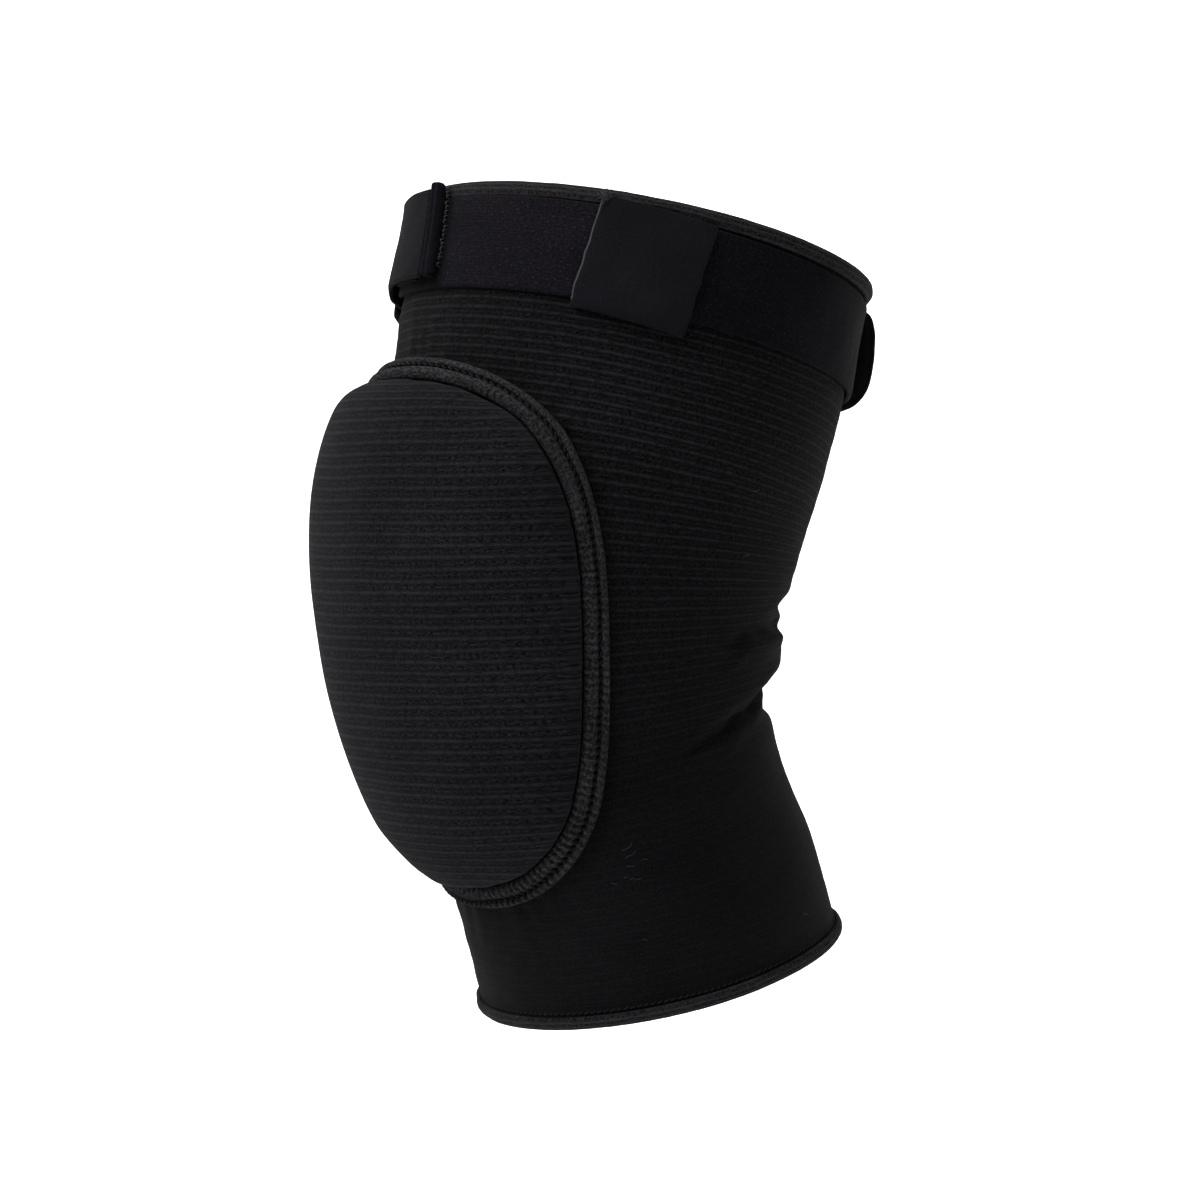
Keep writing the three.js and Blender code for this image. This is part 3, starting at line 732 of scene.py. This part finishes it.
def makeWelt():
    # the profile carried round the outline; the groove deepens at each stitch and both ridges
    # swell between them
    profile = closedCurve(weltProfile, 2)
    turn = np.linspace(0, 2 * math.pi, weltLook["around"] + 1)
    length = weltLength(turn)
    count = round(length[-1] / weltLook["stitch"])
    beat = np.cos(length / length[-1] * count * 2 * math.pi)
    inset, angle = np.meshgrid(profile[:, 0], turn, indexing="ij")
    rise = np.broadcast_to(profile[:, 1:], inset.shape)
    far = np.broadcast_to(length, inset.shape)
    groove = np.exp(-((inset - 0.36) / 0.14)**2) * smooth(rise, 0.1, 0.3)
    ridge = smooth(rise, 0.4, 0.9)
    tall = rise * (weltLook["height"] - cupShape["bedding"]) + cupShape["bedding"]
    tall = tall - weltLook["pinch"] * groove * (0.5 + 0.5 * beat) - 0.28 * ridge * beat
    tall = tall + ridge * (0.18 * ripple(far, inset * 12, 9, 12)
                           + 0.1 * ripple(far, inset * 9, 3, 13))
    raised = smooth(rise, 0, 0.5) * (0.55 + 0.45 * smooth(inset, 0, 0.7))
    tall = tall + ledgeAt(angle) * raised
    inset = inset + (0.03 * ripple(far, 0, 22, 14) * smooth(inset, 0, 0.3)
                     * smooth(1 - inset, 0, 0.3))
    flat = insetOutline(angle, np.clip(inset, 0, 1) * cupShape["welt"])
    over = np.broadcast_to(np.arange(len(profile))[:, None] / 2, far.shape)
    return surface("cup_welt", onFlat(flat, np.maximum(tall, cupShape["bedding"])),
                   np.stack([far / length[-1] * count * weltLook["stitch"], over], -1)), count


welt, stitchCount = makeWelt()
dress(welt, weltFinish("welt knit", grey(44, 1.06), (0, 11.6, 6.4)), "cup_knit", "cup_seam")


def threadAlong(name, inset, height, count, length, radius, lean, finish, slot):
    # short threads in a row round the welt, each a low arch along the seam
    turn = np.linspace(0, 2 * math.pi, 2001)
    reach = weltLength(turn)
    middle = (np.arange(count) + 0.5) / count * reach[-1]
    along = np.linspace(-0.5, 0.5, 6)
    at = np.interp(middle[:, None] + along * length, reach, turn)
    side = np.asarray(inset)[..., None] + along * lean
    arch = height + 0.35 * radius - 1.6 * radius * (2 * along)**4
    side = np.broadcast_to(side, at.shape)
    path = onFlat(insetOutline(at, side), arch + 0.93 * ledgeAt(at))
    return dress(strands(name, path, radius, 5), finish, slot)


threadAlong("welt_stitches", 2.9, 1.75, stitchCount, 1.9, 0.22, 0.5, thread, "cup_knit")
print("welt: made")


# The strap, once round the thigh and over its own near end

strapLook = {"width": 30, "thickness": 1.8, "tilt": 1.2, "tail": 20, "stop": -5, "skew": 11,
             "climb": 15, "endLift": 2.5, "hook": 1.5, "hookLength": 18, "hookSetback": 5.5,
             "roll": 4.6, "rollTall": 32, "fit": 0.3, "bedding": 0.6, "leaf": 1.4, "hem": 4.5,
             "along": 420}
overStrap = strapLook["bedding"] + strapLook["thickness"] + strapLook["fit"]
overHook = overStrap + strapLook["hook"] + strapLook["fit"]
farStart = 2 * math.pi + math.radians(strapLook["stop"])


def strapMiddle(angle):
    # the strap's middle stands a little higher in front than behind
    under = leg["thighLength"] - strapLook["hem"] - strapLook["tilt"] - strapLook["fit"]
    return under - strapLook["width"] / 2 + strapLook["tilt"] * np.cos(angle)


def strapAngle(length):
    half, front, unused = sectionAt(strapMiddle(0))
    return length / ((half + front) / 2)


def skewAngle(up):
    return -strapAngle(up * math.tan(math.radians(strapLook["skew"])))


def strapPlace(a, b, side):
    # b runs along the strap from the near end, under the outer end, round to the outer end,
    # which climbs on the near end over a few degrees
    start = math.radians(strapLook["stop"] - strapLook["tail"])
    square = start + (farStart - start) * b
    top = farStart - math.radians(strapLook["tail"]) - strapAngle(strapLook["thickness"])
    raised = smooth(square, top - math.radians(strapLook["climb"]), top)
    up = (a - 0.5) * strapLook["width"]
    angle = square + skewAngle(up) * raised
    onHem = 2 * strapLook["fit"] + 1.15 * strapLook["leaf"]
    clear = (onHem - strapLook["bedding"]) / (overHook - strapLook["bedding"])
    lift = strapLook["endLift"] * smooth(raised, clear, 1)
    under = strapLook["bedding"] + (overHook - strapLook["bedding"]) * raised
    soft = 0.14 * ripple(square * 73, up, 24, 41) + 0.06 * ripple(square * 73, up, 8, 42)
    height = under + side * strapLook["thickness"] + soft
    return onLeg(strapMiddle(angle) + lift + up, angle, height)


strapLength = (farStart - math.radians(strapLook["stop"] - strapLook["tail"])) * 76
strap = dress(slab("strap_band", strapPlace, strapLook["width"], strapLength,
                   strapLook["thickness"], 22, strapLook["along"]),
              elastic, "strap_elastic", "strap")


def makeFold():
    # the folded end: a flattened round with a groove down its outer face, drawn up the strap
    roll, tall = strapLook["roll"], strapLook["rollTall"]
    turn = np.linspace(0, 2 * math.pi, 49)
    rows = np.linspace(0, 1, 70)
    share, around = np.meshgrid(rows, turn, indexing="ij")
    end = np.minimum(np.minimum(share, 1 - share) * tall / 1.4, 1)
    size = 0.5 * np.sqrt(np.clip(1 - (1 - end)**2, 0, 1))
    groove = 1 - 0.34 * np.exp(-((np.sin(around / 2 - math.pi / 4 - 0.1)) / 0.16)**2)
    size = size * (1 + 0.05 * ripple(share * tall, around * 2, 5, 43))
    up = (tall - strapLook["width"]) / 2 + (share - 0.5) * tall
    reach = strapAngle(roll + strapLook["fit"])
    angle = farStart + strapAngle(strapLook["fit"]) + reach * (0.5 - size * np.cos(around))
    angle = angle + skewAngle(up)
    height = overStrap + roll * (0.5 + size * np.sin(around) * groove)
    station = strapMiddle(angle) + strapLook["endLift"] + up
    return surface("strap_fold", onLeg(station, angle, height),
                   np.stack([around * 2.4, share * tall], -1))


fold = dress(makeFold(), foldElastic, "strap_elastic", "strap_end_fold")


def hookPlace(a, b, side):
    last = farStart - strapAngle(strapLook["hookSetback"])
    first = last - strapAngle(strapLook["hookLength"])
    up = (a - 0.5) * (strapLook["width"] - 2 * strapLook["endLift"])
    angle = first + (last - first) * b + skewAngle(up)
    return onLeg(strapMiddle(angle) + up, angle, overStrap + side * strapLook["hook"])


hook = dress(slab("hook_tape_patch", hookPlace, 25, strapLook["hookLength"], strapLook["hook"],
                  20, 16),
             hookCloth, "hook_tape", "hook_patch")


def makeFoldTacks():
    # short uneven stitches in a row beside the fold, over the strap that it closes on
    count, tall = 17, 27.0
    random = np.random.default_rng(8)
    up = (np.arange(count) + 0.5) / count * tall - 11 + random.uniform(-0.4, 0.4, count)
    along = np.linspace(-0.5, 0.5, 5)
    place = up[:, None] + along * random.uniform(0.9, 2.0, (count, 1))
    angle = (farStart + strapAngle(strapLook["roll"] + 2 * strapLook["fit"] + 0.5)
             + strapAngle(random.uniform(-0.4, 0.4, (count, 1)) + along * 0.5) + skewAngle(place))
    height = overStrap + 0.9 - 1.4 * (2 * along)**4 + 0 * place
    return strands("fold_tacks", onLeg(strapMiddle(angle) + strapLook["endLift"] + place, angle,
                                       height), 0.24, 5)


dress(makeFoldTacks(), paleThread, "strap_elastic")
print("strap: made")


# The keepers: patches that the strap runs through

keeperLook = {"length": 36, "cloth": 1.4, "across": 64, "along": 40}
# middle angle, height up the leg, stand above the strap, gape, bow, skew
keeperRows = {"near": (57, 36, 1.7, 0, 8, -4), "far": (-57, 36, 1.7, 0, 8, 4),
              "back": (170, 35, 3.1, 6.5, 2.2, 0)}


def keeperPlace(which, seed):
    # across the strap the cloth follows (1 - |up|^bow)^(1/bow), from the sleeve below the
    # strap to the hem above it
    middle, tall, stand, gape, bow, skew = keeperRows[which]
    over = overStrap + gape
    tilt = math.radians(skew)

    def place(a, b, side):
        up = -np.cos(math.pi * a)
        arch = np.clip(1 - abs(up)**bow, 0, 1)**(1 / bow)
        length = (b - 0.5) * keeperLook["length"]
        length = length + 0.25 * ripple(up * 18, b * 2, 7, seed) * (2 * b - 1)
        foot = np.where(up > 0, overStrap, strapLook["bedding"])
        narrow = (tall - 2 * keeperLook["cloth"] * (1 - side)) / 2
        angle = math.radians(middle) + strapAngle(length * math.cos(tilt)
                                                  - up * narrow * math.sin(tilt))
        rise = stand - (tall - strapLook["width"]) / 2
        lift = rise + up * narrow * math.cos(tilt) + length * math.sin(tilt)
        height = foot + (over - foot + side * keeperLook["cloth"]) * arch
        soft = 0.16 * ripple(length, up * 18, 14, seed + 1) * arch * side
        return onLeg(strapMiddle(angle) + lift, angle, height + soft)

    return place


for number, which in enumerate(keeperRows):
    tall = keeperRows[which][1]
    patch = slab("keeper_" + which + "_patch", keeperPlace(which, 50 + 3 * number), tall,
                 keeperLook["length"], keeperLook["cloth"], keeperLook["across"],
                 keeperLook["along"])
    dress(patch, loopCloth, "loop_cloth", "keeper_" + which)


def makeCutEdgeHighlight():
    # two pale strands along the near keeper's cut edge
    # their pale thread is a painted highlight, where the cut edge faces the key light
    place = keeperPlace("near", 50)
    a = np.linspace(0.13, 0.9, 60)
    edge = np.stack([place(a, 0.004 + 0 * a, 0.62 + 0.1 * ripple(a * 40, 0, 9, 61)),
                     place(a, 0 * a, 0.4 + 0 * a)])
    return strands("keeper_cut_edge_highlight", edge, 0.42, 6)


def makeTuft():
    # loose ends that start at one corner and curl out
    random = np.random.default_rng(12)
    count = 26
    along = np.linspace(0, 1, 6)
    start = keeperPlace("near", 50)(random.uniform(0.84, 0.93, (count, 1)),
                                    random.uniform(0, 0.05, (count, 1)), 0.9)
    way = random.normal(0, 1, (count, 1, 3)) * np.array([1.3, 0.8, 1.2])
    way = way + np.array([0.3, -0.9, 0.8])
    curl = random.normal(0, 0.7, (count, 1, 3))
    path = start + way * along[:, None] + curl * (along[:, None])**2
    return strands("keeper_tuft", path, 0.14, 5)


# the cut edge's strands are a painted highlight; the tuft is loose pale fibres
dress(makeCutEdgeHighlight(), paleThread, "loop_cloth")
dress(makeTuft(), paleThread, "loop_cloth")
print("keepers: made")


# Small things on the cloth: stitches over the lower hem, and lint

detail = {"hemStitch": 2.3, "hemGap": 1.3, "lintLength": 2.6, "lintRadius": 0.08}
# station and angle of each bit of lint
lintPlaces = np.array([(44.4, 102.4), (21.6, 103.9), (-64.8, 55.7), (-69.5, 60.8), (-75.3, 49.8),
                       (-73.9, 53.7), (-75.3, 57.2), (-95.7, 54.9), (-106.7, 115.2),
                       (-66.4, 58.2), (-67.2, 56.4), (-70.6, 56.1), (-74.6, 55.6), (-63.9, 57.6)])


def makeHemStitches(name, station, height):
    # a row of short threads round the leg, each a low arch
    count = round(2 * math.pi * 60 / detail["hemStitch"])
    along = np.linspace(-0.5, 0.5, 5)
    angle = 2 * math.pi * ((np.arange(count) + 0.5)[:, None] + along * 0.7) / count
    path = onLeg(station + 0.5 * along, angle, height - 0.5 * (2 * along)**4)
    return strands(name, path, 0.2, 5)


def makeLint():
    # short bent fibres that lie on the sleeve
    random = np.random.default_rng(5)
    count = len(lintPlaces)
    along = np.linspace(-0.5, 0.5, 7)
    turn = random.uniform(-0.5, 0.7, (count, 1))
    size = detail["lintLength"] * random.uniform(0.5, 1.1, (count, 1))
    bend = random.uniform(-0.6, 0.6, (count, 1)) * (along**2 - 0.1)
    aside = size * (along * np.cos(turn) - bend * np.sin(turn))
    angle = np.radians(lintPlaces[:, 1:]) + aside / sleeveLook["foldRadius"]
    station = lintPlaces[:, :1] + size * (along * np.sin(turn) + bend * np.cos(turn))
    return strands("lint", onLeg(station, angle, sleeveRelief(station, angle) + 0.25),
                   detail["lintRadius"], 5)


dress(makeHemStitches("shin_hem_stitches", -leg["shinLength"] + hemLook["shinHeight"]
                      + detail["hemGap"], 0.3), thread, "hem_knit")
dress(makeLint(), paleThread, "ribbed_knit")
print("details: made")


# Floor and lights

studio = {"floor": -300, "back": 900, "ambient": 0.2, "key": 16, "fill": 1, "rimLeft": 0.3,
          "rimRight": 0.12, "top": 8}


def makeFloor():
    # a pale floor that curves up into a wall behind the object, along the view's direction
    turn = math.radians(view["azimuth"])
    ahead = np.array([-math.sin(turn), math.cos(turn), 0])
    aside = np.array([math.cos(turn), math.sin(turn), 0])
    bend = np.linspace(0, math.pi / 2, 16)
    radius = 500
    run = np.r_[-2500, studio["back"] + radius * np.sin(bend), studio["back"] + radius]
    rise = np.r_[0, radius * (1 - np.cos(bend)), 3500] + studio["floor"]
    wide = np.linspace(-4000, 4000, 9)
    points = (run[:, None, None] * ahead + wide[None, :, None] * aside
              + rise[:, None, None] * np.array([0, 0, 1]))
    floor = surface("floor_sweep", points, np.stack(np.meshgrid(wide, run), -1))
    finish = Finish("pale floor", Roughness=0.9, Specular_IOR_Level=0.1, Emission_Strength=0.85)
    tone = finish.noise(0.004, 0.004) * 0.02 + 0.9
    lit = finish.step(finish.part(finish.lay(), 1), 150, 500)
    finish.plug(finish.shader.inputs["Emission Color"], finish.tint((1, 1, 1), lit))
    floor.data.materials.append(finish.show(finish.tint((1, 1, 1), tone)))


def areaLight(name, azimuth, elevation, distance, size, power):
    # a soft square light on a sphere round the object, facing it; azimuth from the camera's
    # own, growing to its right
    turn, lift = math.radians(view["azimuth"] + azimuth), math.radians(elevation)
    away = Vector((math.sin(turn) * math.cos(lift), -math.cos(turn) * math.cos(lift),
                   math.sin(lift)))
    data = bpy.data.lights.new(name, "AREA")
    data.shape, data.size, data.energy = "SQUARE", size, power
    light = bpy.data.objects.new(name, data)
    light.location = away * distance
    light.rotation_euler = (-away).to_track_quat("-Z", "Y").to_euler()
    bpy.context.collection.objects.link(light)


makeFloor()
areaLight("key", -50, 40, 1.3, 0.7, studio["key"])
areaLight("fill", 55, 10, 1.6, 1.0, studio["fill"])
areaLight("rimLeft", -125, 15, 1.2, 0.6, studio["rimLeft"])
areaLight("rimRight", 118, 12, 1.2, 0.6, studio["rimRight"])
areaLight("top", 0, 80, 1.2, 0.8, studio["top"])
world = bpy.context.scene.world or bpy.data.worlds.new("studio")
bpy.context.scene.world = world
world.use_nodes = True
world.node_tree.nodes["Background"].inputs["Color"].default_value = (1, 1, 1, 1)
world.node_tree.nodes["Background"].inputs["Strength"].default_value = studio["ambient"]
bpy.context.scene.view_settings.view_transform = "Standard"
print("stage: lit")
